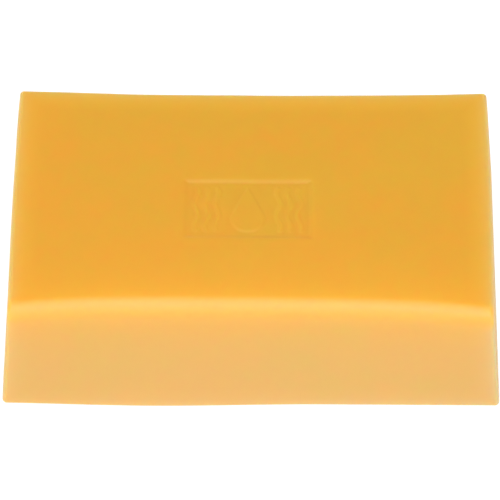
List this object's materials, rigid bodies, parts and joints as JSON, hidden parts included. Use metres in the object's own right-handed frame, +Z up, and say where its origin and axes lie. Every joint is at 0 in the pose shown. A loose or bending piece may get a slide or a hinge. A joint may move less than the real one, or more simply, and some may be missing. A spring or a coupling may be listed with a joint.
{
  "type": "detailing clay bar",
  "caption": "Amber detailing clay bar, a soft moulded block that leans in to its top, with a shallow stamped panel.",
  "frame": {"origin": "middle of the base, on the surface that the bar rests on", "axes": "+X along the bar's length, +Y to its back, +Z up out of the stamped top face; the softened front edge is at -Y"},
  "size_m": [0.08, 0.05, 0.0223],
  "materials": {
    "clay": "satin"
  },
  "bodies": {
    "root": {"clay_bar": "clay"}
  },
  "joints": []
}
